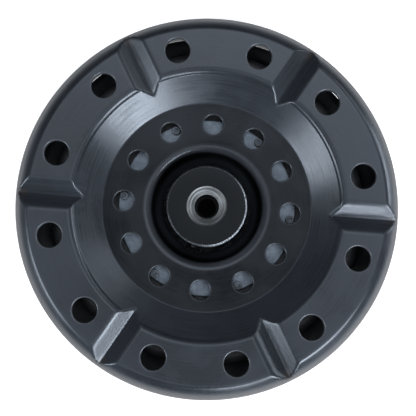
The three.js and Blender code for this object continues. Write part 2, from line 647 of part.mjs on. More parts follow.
DOWELS.angles.forEach((angle, k) => {
  const pin = rod(DOWELS.radius, REAR_HOUSING_TOP - DOWELS.sunk, DOWELS.length, SIDES.small);
  add(`dowel_pin_${k + 1}`, at(pin, polar(DOWELS.ring, angle)), STEEL);
});
[-1, 1].forEach((side, k) => {
  const x = side * PORT.x;
  const valveBall = ball(VALVE.ball).translate([0, 0, VALVE.ballY]);
  add(`check_ball_${k + 1}`, alongY(valveBall, x, VALVE.z), BEARING_STEEL);
  add(`check_spring_${k + 1}`, alongY(checkSpring(), x, VALVE.z), STEEL);
  add(`check_plug_${k + 1}`, alongY(checkPlug(), x, VALVE.z), BLACK_OXIDE);
});
add("drain_plug", drainPlug(), PLATED);

export default motor;
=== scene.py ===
import json
import math

import bmesh
import bpy
from mathutils import Matrix, Vector


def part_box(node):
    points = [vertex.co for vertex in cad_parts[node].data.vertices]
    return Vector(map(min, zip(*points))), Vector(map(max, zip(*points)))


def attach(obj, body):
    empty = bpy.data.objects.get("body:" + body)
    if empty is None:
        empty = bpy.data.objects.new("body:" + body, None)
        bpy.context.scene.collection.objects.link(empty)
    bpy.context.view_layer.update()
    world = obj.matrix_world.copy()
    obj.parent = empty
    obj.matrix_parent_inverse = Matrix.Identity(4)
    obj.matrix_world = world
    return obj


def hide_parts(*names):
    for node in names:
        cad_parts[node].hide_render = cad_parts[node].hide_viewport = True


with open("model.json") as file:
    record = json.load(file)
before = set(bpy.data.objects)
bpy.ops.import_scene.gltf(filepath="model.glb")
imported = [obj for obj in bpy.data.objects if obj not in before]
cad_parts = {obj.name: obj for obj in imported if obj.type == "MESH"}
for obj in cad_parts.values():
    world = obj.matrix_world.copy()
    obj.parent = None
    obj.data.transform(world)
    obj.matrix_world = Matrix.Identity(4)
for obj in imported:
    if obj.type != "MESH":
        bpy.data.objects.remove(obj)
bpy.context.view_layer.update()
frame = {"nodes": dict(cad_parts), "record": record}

MM = 0.001

# ---------------------------------------------------------------- sizes, from the frame
BELL_LOW, BELL_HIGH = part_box("drive_bell")
FACE_Z = BELL_HIGH.z
RIM_Z = BELL_LOW.z
BELL_R = BELL_HIGH.x
HUB_LOW, HUB_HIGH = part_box("hub")
RING_LOW, RING_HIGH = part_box("hub_retaining_ring")
COVER_LOW, COVER_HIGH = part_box("dust_cover")
DRUM_LOW, DRUM_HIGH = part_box("front_housing")
SHIELD_LOW, SHIELD_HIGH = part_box("dust_shield")
REAR_LOW, REAR_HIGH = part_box("rear_housing")
BODY_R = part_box("rotor_ring")[1].x


def around(count, first):
    """Evenly spaced directions, in degrees."""
    return [first + 360 * k / count for k in range(count)]


# ---------------------------------------------------------------- sizes that no box gives
# The pressed bell: a face, a cone down to a disc, and a well in the middle.
SHEET = 3 * MM
SHOULDER_R = 93.1 * MM
SHOULDER_DROP = 5.13 * MM
CONE_TOP_R = 69.1 * MM
DISC_R = 55.3 * MM
DISC_Z = FACE_Z - 11.5 * MM
WELL_R = 28.5 * MM
WELL_Z = FACE_Z - 20.7 * MM
CENTRE_HOLE_R = 23.2 * MM
LIP_ROUNDING = 5 * MM
GROOVES = 6
FIRST_GROOVE = math.radians(55.6)
GROOVE_DEPTH = 5.2 * MM
GROOVE_HALF = 7 * MM
HOLES = 12
OUTER_HOLES = {"radius": 6.5 * MM, "ring": 82.6 * MM, "first": 10.6, "surface": FACE_Z, "lip": 0.7 * MM}
INNER_HOLES = {"radius": 5.3 * MM, "ring": 43.9 * MM, "first": 25.6, "surface": DISC_Z, "lip": 0.55 * MM}

# The hub and its ring.
HUB_R = 21 * MM
HUB_FACE_R = 20.3 * MM
FLANGE_R = 28 * MM
SINK_R = 10.4 * MM
BORE_R = 6.4 * MM
SHAFT_SEAT_R = 12.8 * MM
SEAT_Z = WELL_Z - SHEET - 0.3 * MM
RING_GAP = -109
EARS = (RING_GAP - 8, RING_GAP + 8)

# The still parts. Each ring of screws lists its radius, its directions and its clearance holes' radius.
DRUM_FLOOR_Z = FACE_Z - 20.5 * MM
DRUM_STEP_Z = FACE_Z - 34 * MM
SEAL_SHOULDER_Z = 67.3 * MM
COVER_SCREWS = {"ring": 44.5 * MM, "angles": around(6, 51.6), "hole": 1.55 * MM}
SHIELD_SCREWS = {"ring": 72 * MM, "angles": around(4, 45), "hole": 2.3 * MM}
BOLTS = {"ring": 53 * MM, "angles": around(6, 30), "hole": 4.3 * MM}
DOWELS = {"ring": 53 * MM, "angles": (0, 180), "hole": 3.3 * MM}
MOUNT_HOLES = {"ring": 32 * MM, "angles": around(4, 45), "hole": 4.3 * MM}
BOLT_SEAT_Z = 8 * MM
PLATE_BORE_R = 13.5 * MM
ROTOR_R = 37.25 * MM
ROTOR_OFFSET = 2.6 * MM
PORT_X = 18 * MM
PORT_Z = 13 * MM
VALVE_Z = 14 * MM
DRAIN_Z = 8.5 * MM


# ---------------------------------------------------------------- outlines
def rounded(corners, closed=True, turn=9.0):
    """The outline through (x, y, radius) corners, each one rounded in steps of turn degrees."""
    points = []
    count = len(corners)
    for k, (x, y, radius) in enumerate(corners):
        here = Vector((x, y))
        is_end = not closed and k in (0, count - 1)
        if radius == 0 or is_end:
            points.append(here)
            continue
        back = (Vector(corners[k - 1][:2]) - here).normalized()
        onward = (Vector(corners[(k + 1) % count][:2]) - here).normalized()
        angle = back.angle(onward)
        start = here + back * radius / math.tan(angle / 2)
        centre = here + (back + onward).normalized() * radius / math.sin(angle / 2)
        side = 1 if back.x * onward.y - back.y * onward.x < 0 else -1
        sweep = math.pi - angle
        steps = max(2, math.ceil(math.degrees(sweep) / turn))
        for i in range(steps + 1):
            spin = Matrix.Rotation(side * sweep * i / steps, 2)
            points.append(centre + spin @ (start - centre))
    return points


def refined(points, longest):
    """The same outline cut into steps no longer than longest(a, b) between points a and b."""
    fine = [points[0]]
    for a, b in zip(points, points[1:]):
        steps = max(1, math.ceil((b - a).length / longest(a, b)))
        fine += [a.lerp(b, i / steps) for i in range(1, steps + 1)]
    return fine


def circle(radius, sides):
    """Corner points of a regular outline round the origin."""
    turns = (math.tau * k / sides for k in range(sides))
    return [Vector((radius * math.cos(a), radius * math.sin(a))) for a in turns]


def polar(radius, degrees):
    """The (x, y) of a point at a radius and a direction."""
    return radius * math.cos(math.radians(degrees)), radius * math.sin(math.radians(degrees))


# ---------------------------------------------------------------- meshes
def new_object(name, bm):
    """Turns a finished bmesh into an object of the scene."""
    bmesh.ops.recalc_face_normals(bm, faces=bm.faces)
    mesh = bpy.data.meshes.new(name)
    bm.to_mesh(mesh)
    bm.free()
    obj = bpy.data.objects.new(name, mesh)
    bpy.context.scene.collection.objects.link(obj)
    return obj


def skin(bm, rings):
    """Faces between each closed ring of vertices and the next. A ring that repeats one vertex is a pole."""
    for ring, after in zip(rings, rings[1:]):
        for k in range(len(ring)):
            j = (k + 1) % len(ring)
            corners = dict.fromkeys((ring[k], ring[j], after[j], after[k]))
            if len(corners) > 2:
                bm.faces.new(list(corners))


def revolved(name, outline, sides=128):
    """A closed (radius, height) outline turned about Z."""
    bm = bmesh.new()
    rings = []
    for r, z in outline:
        if r < 1e-7:
            rings.append([bm.verts.new((0, 0, z))] * sides)
        else:
            rings.append([bm.verts.new((x, y, z)) for x, y in circle(r, sides)])
    skin(bm, rings + rings[:1])
    return new_object(name, bm)


def capped(name, bm, rings):
    """A solid of stacked rings, closed by a flat face at each end."""
    bm.faces.new(rings[0][::-1])
    bm.faces.new(rings[-1])
    skin(bm, rings)
    return new_object(name, bm)


def prism(name, outline, low, high):
    """A closed (x, y) outline raised from one height to another."""
    bm = bmesh.new()
    return capped(name, bm, [[bm.verts.new((x, y, z)) for x, y in outline] for z in (low, high)])


def copies(obj, matrices):
    """The object's mesh replaced by one copy of it at each matrix."""
    bm = bmesh.new()
    for matrix in matrices:
        part = bmesh.new()
        part.from_mesh(obj.data)
        part.transform(matrix)
        scratch = bpy.data.meshes.new("scratch")
        part.to_mesh(scratch)
        part.free()
        bm.from_mesh(scratch)
        bpy.data.meshes.remove(scratch)
    mesh = obj.data
    mesh.clear_geometry()
    bm.to_mesh(mesh)
    bm.free()
    return obj


def on_circle(obj, ring, degrees, z=0.0):
    """Copies of the piece at a radius, one in each direction."""
    return copies(obj, [Matrix.Translation((*polar(ring, a), z)) for a in degrees])


def apply(obj):
    """Applies every modifier of the object."""
    graph = bpy.context.evaluated_depsgraph_get()
    done = bpy.data.meshes.new_from_object(obj.evaluated_get(graph))
    obj.modifiers.clear()
    old = obj.data
    obj.data = done
    done.name = obj.name
    bpy.data.meshes.remove(old)
    return obj


def boolean(obj, tool, operation="DIFFERENCE"):
    """Cuts the tool out of the piece, or joins it on, and uses the tool up."""
    step = obj.modifiers.new("cut", "BOOLEAN")
    step.operation = operation
    step.solver = "MANIFOLD"
    step.object = tool
    apply(obj)
    bpy.data.objects.remove(tool)
    return obj


def bevelled(obj, width):
    """Rounds every edge sharper than 40 degrees."""
    step = obj.modifiers.new("edges", "BEVEL")
    step.width = width
    step.segments = 3
    step.limit_method = "ANGLE"
    step.angle_limit = math.radians(40)
    step.use_clamp_overlap = True
    return apply(obj)


def smooth(obj, angle=32):
    """Smooth shading that keeps the corners sharper than the angle."""
    obj.data.shade_smooth()
    obj.data.set_sharp_from_angle(angle=math.radians(angle))
    return obj


def rod(radius, low, high, sides=48):
    """A plain cylinder on the axis, to cut a hole with."""
    return revolved("tool", [(0, low), (radius, low), (radius, high), (0, high)], sides)


def bored(obj, *tools):
    """Cuts each tool out of the piece in turn."""
    for tool in tools:
        boolean(obj, tool)
    return obj


def screw_holes(screws, low, high, sides=48):
    """A tool for the clearance holes of one ring of screws."""
    return on_circle(rod(screws["hole"], low, high, sides), screws["ring"], screws["angles"])


def place(obj, body, slot, material, *nodes):
    """Gives a finished piece its material and its body, and hides the CAD nodes that it stands for."""
    obj.data.materials.clear()
    obj.data.materials.append(material)
    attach(obj, body)
    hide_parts(*nodes)
    return obj


# ---------------------------------------------------------------- material graphs
class Graph:
    """Short names for the nodes of one material, or of the sky."""

    def __init__(self, name, kind="materials", shader="Principled BSDF", coordinates="Object"):
        self.owner = getattr(bpy.data, kind).new(name)
        self.owner.use_nodes = True
        self.tree = self.owner.node_tree
        self.shader = self.tree.nodes[shader]
        self.coordinates = self.node("ShaderNodeTexCoord").outputs[coordinates]
        split = self.node("ShaderNodeSeparateXYZ", Vector=self.coordinates)
        self.x, self.y, self.z = split.outputs
        self.radius = self.length(self.x, self.y)

    def node(self, kind, **inputs):
        """A new node with the named inputs set or linked."""
        made = self.tree.nodes.new(kind)
        for name, value in inputs.items():
            self.link(made.inputs[name], value)
        return made

    def link(self, socket, value):
        """Joins a socket to another one, or gives it a plain value."""
        if isinstance(value, bpy.types.NodeSocket):
            self.tree.links.new(value, socket)
        else:
            socket.default_value = value

    def math(self, operation, a, b=0.0):
        """One Math node's result."""
        made = self.tree.nodes.new("ShaderNodeMath")
        made.operation = operation
        for socket, value in zip(made.inputs, (a, b)):
            self.link(socket, value)
        return made.outputs[0]

    def times(self, a, b):
        """The product of two values."""
        return self.math("MULTIPLY", a, b)

    def square(self, value):
        """The value times itself."""
        return self.times(value, value)

    def length(self, a, b):
        """The length of the vector (a, b)."""
        return self.math("SQRT", self.math("ADD", self.square(a), self.square(b)))

    def ramp(self, value, low, high, out_low=0.0, out_high=1.0):
        """value from low..high mapped smoothly to out_low..out_high, and clamped."""
        made = self.tree.nodes.new("ShaderNodeMapRange")
        made.interpolation_type = "SMOOTHSTEP"
        names = ("Value", "From Min", "From Max", "To Min", "To Max")
        for name, v in zip(names, (value, low, high, out_low, out_high)):
            self.link(made.inputs[name], v)
        return made.outputs["Result"]

    def until(self, value, low, high):
        """1 up to low, falling smoothly to 0 at high."""
        return self.ramp(value, low, high, 1, 0)

    def noise(self, scale, detail=3.0, roughness=0.5, vector=None, w=None):
        """Noise in space, or along one value when w is given."""
        made = self.tree.nodes.new("ShaderNodeTexNoise")
        if w is not None:
            made.noise_dimensions = "1D"
            self.link(made.inputs["W"], w)
        else:
            self.link(made.inputs["Vector"], vector or self.coordinates)
        made.inputs["Scale"].default_value = scale
        made.inputs["Detail"].default_value = detail
        made.inputs["Roughness"].default_value = roughness
        return made.outputs["Fac"]

    def streaks(self, across, scale):
        """Fine lines of constant distance across, broken up slowly along their length."""
        lengthwise = 2.2 / (60 * MM)
        stretched = self.node(
            "ShaderNodeCombineXYZ",
            X=self.times(self.x, lengthwise),
            Y=self.times(self.y, lengthwise),
            Z=self.times(across, scale),
        )
        return self.noise(1.0, 3, 0.65, vector=stretched.outputs["Vector"])

    def mix(self, factor, a, b, kind="RGBA"):
        """Between two colours, or between two numbers when kind is FLOAT."""
        made = self.tree.nodes.new("ShaderNodeMix")
        made.data_type = kind
        self.link(made.inputs["Factor"], factor)
        self.link(made.inputs["A"], a)
        self.link(made.inputs["B"], b)
        return made.outputs["Result"]

    def from_nearest(self, angle, count, first):
        """The angle away from the nearest of count even directions."""
        turn = math.tau / count
        off_first = self.math("SUBTRACT", angle, first - turn / 2)
        return self.math("SUBTRACT", self.math("FLOORED_MODULO", off_first, turn), turn / 2)

    def bump(self, height, strength, distance, after=None):
        """A normal bent by the height, on top of an earlier bump when one is given."""
        made = self.node("ShaderNodeBump", Height=height, Strength=strength, Distance=distance)
        if after is not None:
            self.link(made.inputs["Normal"], after)
        return made.outputs["Normal"]

    def set(self, **values):
        """Sets the shader's own sockets, with _ for a space in the names."""
        for name, value in values.items():
            self.link(self.shader.inputs[name.replace("_", " ")], value)


def hole_edges(g, angle, holes):
    """1 on the rolled edges of one ring of holes, where the coat is thin and a highlight is painted on, and
    0 away from them.
    """
    off_hole = g.from_nearest(angle, HOLES, math.radians(holes["first"]))
    outward = g.math("SUBTRACT", g.times(g.radius, g.math("COSINE", off_hole)), holes["ring"])
    sideways = g.times(g.radius, g.math("SINE", off_hole))
    return g.until(g.length(outward, sideways), holes["radius"] + 0.3 * MM, holes["radius"] + 0.9 * MM)


def groove_walls(g, across):
    """1 on the walls of the V-grooves, given the distance across the nearest one, and 0 elsewhere."""
    near_line = g.until(g.math("ABSOLUTE", across), GROOVE_HALF, GROOVE_HALF + 1 * MM)
    sunk = g.until(g.z, FACE_Z - 0.9 * MM, FACE_Z - 0.4 * MM)
    off_disc = g.ramp(g.radius, 63 * MM, 64.5 * MM)
    return g.times(g.times(near_line, sunk), off_disc)


def shoulder_reflection(g):
    """1 on the bell's rounded shoulder, where a warm brown reflection of the surroundings is painted into
    the coat, and 0 elsewhere.
    """
    below_face = g.until(g.z, FACE_Z - 6 * MM, FACE_Z - 3 * MM)
    above_side = g.ramp(g.z, FACE_Z - 26 * MM, FACE_Z - 10 * MM)
    off_face = g.ramp(g.radius, SHOULDER_R - 0.1 * MM, SHOULDER_R + 1.9 * MM)
    return g.times(g.times(below_face, above_side), off_face)


def coated_steel():
    """Satin blue-black dip coat over pressed steel: faint turning marks, draw lines in the grooves."""
    g = Graph("coated_steel")
    angle = g.math("ARCTAN2", g.y, g.x)
    across = g.times(g.radius, g.math("SINE", g.from_nearest(angle, GROOVES, FIRST_GROOVE)))
    groove = groove_walls(g, across)
    flat = g.ramp(g.radius, CONE_TOP_R + 0.4 * MM, CONE_TOP_R + 1.9 * MM)
    side = g.ramp(g.radius, BELL_R - 3.5 * MM, BELL_R - 1.5 * MM)
    disc = g.until(g.radius, DISC_R - 0.8 * MM, DISC_R + 0.2 * MM)
    well = g.until(g.radius, WELL_R + 0.3 * MM, WELL_R + 1.6 * MM)
    lip = g.times(disc, g.until(g.radius, WELL_R + 4 * MM, WELL_R + 5.5 * MM))
    off_lip = g.ramp(g.radius, WELL_R + 4 * MM, WELL_R + 6 * MM)

    lines = g.mix(groove, g.streaks(g.radius, 1500), g.streaks(across, 2400), "FLOAT")
    peel = g.noise(900, 2, 0.5)
    cloud = g.noise(22, 4, 0.55)
    smudge = g.noise(90, 5, 0.6)
    fleck = g.noise(4200, 2, 0.7)

    tone = g.math("ADD", g.times(cloud, 0.6), g.times(lines, 0.4))
    base = g.mix(g.ramp(tone, 0.3, 0.7), (0.013, 0.015, 0.018, 1), (0.021, 0.024, 0.029, 1))
    # Painted shade: the sunk disc's coat is darker than the face's.
    shaded_disc_base = g.mix(g.ramp(cloud, 0.35, 0.65), (0.005, 0.006, 0.007, 1), (0.013, 0.015, 0.017, 1))
    # Painted highlight: the rims of the holes get a lighter grey, partly thin coat and partly the glint of
    # their rolled edges.
    outer_rim_highlights = hole_edges(g, angle, OUTER_HOLES)
    inner_rim_highlights = hole_edges(g, angle, INNER_HOLES)
    # Painted reflection: the shoulder's coat is tinted warm brown, standing in for brown surroundings
    # reflected there.
    base = g.mix(g.times(shoulder_reflection(g), 0.5), base, (0.040, 0.026, 0.016, 1))
    base = g.mix(g.times(outer_rim_highlights, 0.8), base, (0.060, 0.063, 0.068, 1))
    base = g.mix(disc, base, shaded_disc_base)
    base = g.mix(g.times(inner_rim_highlights, 0.8), base, (0.050, 0.053, 0.058, 1))
    # Painted highlight: a lighter band of coat round the well's lip.
    base = g.mix(lip, base, (0.019, 0.021, 0.024, 1))
    # Painted shade: the well's coat is near black.
    base = g.mix(well, base, (0.005, 0.006, 0.007, 1))

    brushed = g.math("SUBTRACT", 1.0, g.times(flat, g.math("SUBTRACT", 0.75, groove)))
    rough = g.math("ADD", g.ramp(cloud, 0.3, 0.7, 0.24, 0.30), g.times(fleck, 0.04))
    rough = g.math("ADD", rough, g.ramp(smudge, 0.45, 0.75, 0, 0.05))
    rough = g.mix(well, rough, 0.6, "FLOAT")
    rough = g.mix(side, rough, 0.5, "FLOAT")
    rough = g.math("ADD", rough, g.times(brushed, g.ramp(lines, 0.35, 0.65, -0.03, 0.03)))

    normal = g.bump(lines, g.times(brushed, 0.65), 0.03 * MM)
    normal = g.bump(peel, 0.10, 0.03 * MM, normal)
    # Painted shade: a high metallic value on the near-black coat dims the reflections of the sunk disc and
    # of the well.
    dull = g.math("ADD", g.times(g.times(disc, off_lip), 0.58), g.times(well, 0.92))
    g.set(Base_Color=base, Roughness=rough, Metallic=dull, Specular_Tint=(0.88, 0.93, 1.0, 1), Normal=normal)
    return g.owner


def dusty_coat():
    """The dust shield's coat, greyed by the dust that comes in through the bell's holes."""
    g = Graph("dusty_coat")
    dust = g.noise(60, 4, 0.6)
    speck = g.noise(1800, 3, 0.6)
    base = g.mix(g.ramp(dust, 0.35, 0.65), (0.050, 0.053, 0.058, 1), (0.095, 0.100, 0.108, 1))
    rough = g.math("ADD", g.ramp(dust, 0.35, 0.65, 0.38, 0.52), g.times(speck, 0.06))
    g.set(Base_Color=base, Roughness=rough, Normal=g.bump(speck, 0.12, 0.03 * MM))
    return g.owner


def hub_steel():
    """The hub: the same coat, cut away in the countersink to bare turned steel, with painted shade, near
    black, inside the bore.
    """
    g = Graph("hub_coat_and_bare_steel")
    bare = g.until(g.radius, SINK_R - 0.05 * MM, SINK_R + 0.1 * MM)
    # Painted shade: the inside of the bore is near black.
    shaded_hole = g.until(g.radius, BORE_R + 0.02 * MM, BORE_R + 0.15 * MM)
    edge = g.ramp(g.radius, HUB_FACE_R - 0.15 * MM, HUB_FACE_R)
    flat = g.math("SUBTRACT", g.math("SUBTRACT", 1.0, bare), edge)
    cuts = g.streaks(g.radius, 1300)
    stain = g.noise(260, 4, 0.6)
    patch = g.noise(900, 3, 0.6)
    scuff = g.noise(2200, 4, 0.7)

    steel = g.mix(g.ramp(cuts, 0.35, 0.65), (0.05, 0.052, 0.052, 1), (0.27, 0.28, 0.28, 1))
    steel = g.mix(g.ramp(stain, 0.5, 0.66, 0, 0.7), steel, (0.10, 0.10, 0.097, 1))
    steel = g.mix(shaded_hole, steel, (0.004, 0.004, 0.004, 1))
    coat = g.mix(g.noise(40, 3), (0.005, 0.006, 0.007, 1), (0.009, 0.010, 0.011, 1))
    chipped = g.times(edge, g.ramp(scuff, 0.42, 0.56))
    # Painted highlight: the chipped edge's grey runs lighter towards +X and -Y, the side that faces the key
    # lamp.
    highlight_side = g.ramp(g.math("SUBTRACT", g.x, g.times(g.y, 0.5)), 4 * MM, 20 * MM)
    chip_and_highlight = g.mix(highlight_side, (0.075, 0.08, 0.085, 1), (0.42, 0.45, 0.48, 1))
    coat = g.mix(chipped, coat, chip_and_highlight)

    coat_rough = g.math("SUBTRACT", g.ramp(patch, 0.3, 0.7, 0.32, 0.40), g.times(edge, 0.22))
    rough = g.mix(bare, coat_rough, g.ramp(cuts, 0.3, 0.7, 0.42, 0.62), "FLOAT")
    rough = g.mix(shaded_hole, rough, 0.6, "FLOAT")
    normal = g.bump(cuts, g.times(bare, 0.7), 0.04 * MM)
    normal = g.bump(patch, 0.06, 0.02 * MM, normal)
    shine = g.math("ADD", g.times(g.math("SUBTRACT", bare, shaded_hole), 0.45), g.times(flat, 0.6))
    g.set(Base_Color=g.mix(bare, coat, steel), Roughness=rough, Metallic=shine, IOR=1.4, Normal=normal)
    return g.owner


def painted_casting():
    """Black paint over sand-cast iron: a coarse pebbled skin with small pits."""
    g = Graph("cast_black")
    dark, light = 0.018, 0.034
    grain = g.noise(420, 5, 0.6)
    pits = g.node("ShaderNodeTexVoronoi", Vector=g.coordinates, Scale=650.0).outputs["Distance"]
    cloud = g.noise(30, 4, 0.6)
    base = g.mix(g.ramp(cloud, 0.3, 0.7), (dark, dark, dark * 1.1, 1), (light, light, light * 1.1, 1))
    normal = g.bump(grain, 0.35, 0.25 * MM)
    normal = g.bump(g.ramp(pits, 0.0, 0.25), 0.12, 0.12 * MM, normal)
    g.set(Base_Color=base, Roughness=g.ramp(grain, 0.3, 0.7, 0.42, 0.62), Metallic=0.1, Normal=normal)
    return g.owner


def plated_steel(name="plated_steel", dull=(0.12, 0.145, 0.175, 1), bright=(0.22, 0.26, 0.30, 1)):
    """Light blue-grey plating on rolled plate, a little mottled."""
    g = Graph(name)
    mottle = g.noise(260, 5, 0.65)
    fine = g.noise(1800, 3, 0.6)
    base = g.mix(g.ramp(mottle, 0.35, 0.65), dull, bright)
    rough = g.math("ADD", g.ramp(mottle, 0.3, 0.7, 0.38, 0.5), g.times(fine, 0.08))
    g.set(Base_Color=base, Roughness=rough, Metallic=0.4, Normal=g.bump(fine, 0.15, 0.03 * MM))
    return g.owner


def ground_steel(name="ground_steel", rough_low=0.32, rough_high=0.48):
    """Bare steel, turned or ground, with fine rings about the shaft's axis and a light stain."""
    g = Graph(name)
    rings = g.noise(3800, 3, 0.65, w=g.radius)
    levels = g.noise(3800, 3, 0.65, w=g.z)
    marks = g.times(g.math("ADD", rings, levels), 0.5)
    stain = g.noise(70, 4, 0.6)
    base = g.mix(g.ramp(marks, 0.35, 0.65), (0.24, 0.245, 0.25, 1), (0.38, 0.385, 0.39, 1))
    base = g.mix(g.ramp(stain, 0.45, 0.7, 0, 0.6), base, (0.13, 0.12, 0.11, 1))
    g.set(Base_Color=base, Roughness=g.ramp(marks, 0.3, 0.7, rough_low, rough_high), Metallic=1.0,
          Normal=g.bump(marks, 0.2, 0.02 * MM))
    return g.owner


def shaft_steel():
    """Ground steel, with painted shade, near black, down the threaded hole in the shaft's end."""
    g = Graph("shaft_steel")
    rings = g.noise(3800, 3, 0.65, w=g.z)
    stain = g.noise(70, 4, 0.6)
    # Painted shade: the threaded hole is near black.
    shaded_hole = g.until(g.radius, 7.05 * MM, 7.3 * MM)
    base = g.mix(g.ramp(rings, 0.35, 0.65), (0.42, 0.43, 0.44, 1), (0.62, 0.63, 0.64, 1))
    base = g.mix(g.ramp(stain, 0.5, 0.75, 0, 0.35), base, (0.30, 0.28, 0.26, 1))
    base = g.mix(shaded_hole, base, (0.003, 0.003, 0.003, 1))
    g.set(Base_Color=base, Roughness=g.mix(shaded_hole, g.ramp(rings, 0.3, 0.7, 0.24, 0.4), 0.7, "FLOAT"),
          Metallic=g.math("SUBTRACT", 1.0, shaded_hole), Normal=g.bump(rings, 0.2, 0.02 * MM))
    return g.owner


def black_oxide(name="black_oxide", dark=0.008, light=0.028):
    """Blackened screws and rings: dark, slightly oily, with a worn grey cast."""
    g = Graph(name)
    wear = g.noise(500, 4, 0.6)
    fine = g.noise(2500, 2, 0.6)
    base = g.mix(g.ramp(wear, 0.4, 0.7), (dark, dark, dark * 1.1, 1), (light, light, light * 1.1, 1))
    g.set(Base_Color=base, Roughness=g.ramp(wear, 0.3, 0.7, 0.3, 0.46), Metallic=1.0,
          Normal=g.bump(fine, 0.12, 0.02 * MM))
    return g.owner


def rubber():
    """Black nitrile rubber with a grey bloom."""
    g = Graph("seal_rubber")
    bloom = g.noise(300, 4, 0.6)
    grain = g.noise(2400, 3, 0.6)
    base = g.mix(bloom, (0.012, 0.012, 0.012, 1), (0.030, 0.030, 0.029, 1))
    g.set(Base_Color=base, Roughness=g.ramp(bloom, 0.3, 0.7, 0.6, 0.8), Normal=g.bump(grain, 0.2, 0.05 * MM))
    return g.owner


def felt():
    """Oiled grey felt."""
    g = Graph("felt")
    fibres = g.noise(1500, 6, 0.75)
    base = g.mix(g.ramp(fibres, 0.3, 0.7), (0.09, 0.085, 0.075, 1), (0.24, 0.225, 0.20, 1))
    g.set(Base_Color=base, Roughness=0.95, Sheen_Weight=0.4, Normal=g.bump(fibres, 0.8, 0.3 * MM))
    return g.owner


def floor_paint():
    """Pale matt paint that glows a little round the object, so that it stays white there."""
    g = Graph("floor")
    base = g.mix(g.noise(3, 2), (0.88, 0.87, 0.86, 1), (0.91, 0.90, 0.89, 1))
    glow = g.ramp(g.radius, 0.20, 0.42, 0.45, 0)
    g.set(Base_Color=base, Roughness=0.9, Emission_Color=(1.0, 0.99, 0.98, 1), Emission_Strength=glow)
    return g.owner


COAT = coated_steel()
DUSTY_COAT = dusty_coat()
HUB_METAL = hub_steel()
CASTING = painted_casting()
PLATED = plated_steel()
# Painted shade: a darker copy of the plating for the cover screws, whose heads stand nearer the lamps than
# the plate under them.
SHADED_PLATED = plated_steel("shaded_plated_steel", (0.05, 0.057, 0.065, 1), (0.11, 0.125, 0.14, 1))
GROUND = ground_steel()
BRIGHT = ground_steel("bearing_steel", 0.1, 0.2)
SHAFT = shaft_steel()
OXIDE = black_oxide()
# Painted shade: a darker copy of the black oxide for the retaining ring down in the well.
SHADED_OXIDE = black_oxide("shaded_black_oxide", 0.003, 0.010)
RUBBER = rubber()
FELT = felt()


# ---------------------------------------------------------------- drive bell
def smooth_min(a, b, blend):
    """The lower of two heights, with the corner between them rounded over the blend."""
    share = max(blend - abs(a - b), 0) / blend
    return min(a, b) - share * share * blend / 4


def pressed(r, z, angle, depth, blend_flat, blend_edge):
    """Height of a sheet surface of height z once the V-grooves are pressed into it."""
    turn = math.tau / GROOVES
    local = (angle - FIRST_GROOVE + turn / 2) % turn - turn / 2
    across = r * math.sin(local)
    nose = 0.35 * MM
    slope = GROOVE_DEPTH / GROOVE_HALF
    vee = FACE_Z - depth + slope * (math.hypot(across, nose) - nose)
    drop = min(max((FACE_Z - z - 0.2 * MM) / (2.4 * MM), 0), 1)
    return smooth_min(z, vee, blend_flat + (blend_edge - blend_flat) * drop)


def bell_corners():
    """The bell's outer surface as corners with their radii, from the rim to the centre hole."""
    return [
        (BELL_R, RIM_Z, 0),
        (BELL_R, FACE_Z - SHOULDER_DROP, 15 * MM),
        (SHOULDER_R, FACE_Z, 4 * MM),
        (CONE_TOP_R + 1.5 * MM, FACE_Z, 4 * MM),
        (CONE_TOP_R, FACE_Z - 2.1 * MM, 1.5 * MM),
        (DISC_R, DISC_Z, 0.7 * MM),
        (WELL_R, DISC_Z, LIP_ROUNDING),
        (WELL_R, WELL_Z, 2.5 * MM),
        (CENTRE_HOLE_R, WELL_Z, 0),
    ]


def inner_corners(corners, sheet):
    """The other side of the sheet: each corner moved in by the sheet's thickness."""
    points = [Vector((x, y)) for x, y, radius in corners]
    radii = [radius for x, y, radius in corners]
    sides = [(b - a).normalized() for a, b in zip(points, points[1:])]
    moved = []
    for before, here, after, radius in zip(sides[:1] + sides, points, sides + sides[-1:], radii):
        inward = Vector((-before.y - after.y, before.x + after.x))
        corner = here + inward * 2 * sheet / inward.length_squared
        bends_out = before.x * after.y - before.y * after.x > 0
        if radius and bends_out:
            radius = max(radius - sheet, 0.4 * MM)
        elif radius:
            radius += sheet
        moved.append((*corner, radius))
    return moved


def bell_angles():
    """Fine steps across each groove and wider steps between them."""
    angles = []
    for k in range(GROOVES):
        centre = FIRST_GROOVE + math.tau * k / GROOVES
        angles += [centre + math.radians(0.4 * i) for i in range(-20, 21)]
        angles += [centre + math.radians(8 + 1.1 * i) for i in range(1, 40)]
    return angles


def top_step(a, b):
    """The longest stretch of the bell's top: short wherever a groove crosses it."""
    return 1.1 * MM if 60 * MM < (a.x + b.x) / 2 < 97 * MM else 4 * MM


def under_step(a, b):
    """The longest stretch of the bell's underside."""
    return 1.6 * MM if (a.x + b.x) / 2 > 60 * MM else 4 * MM


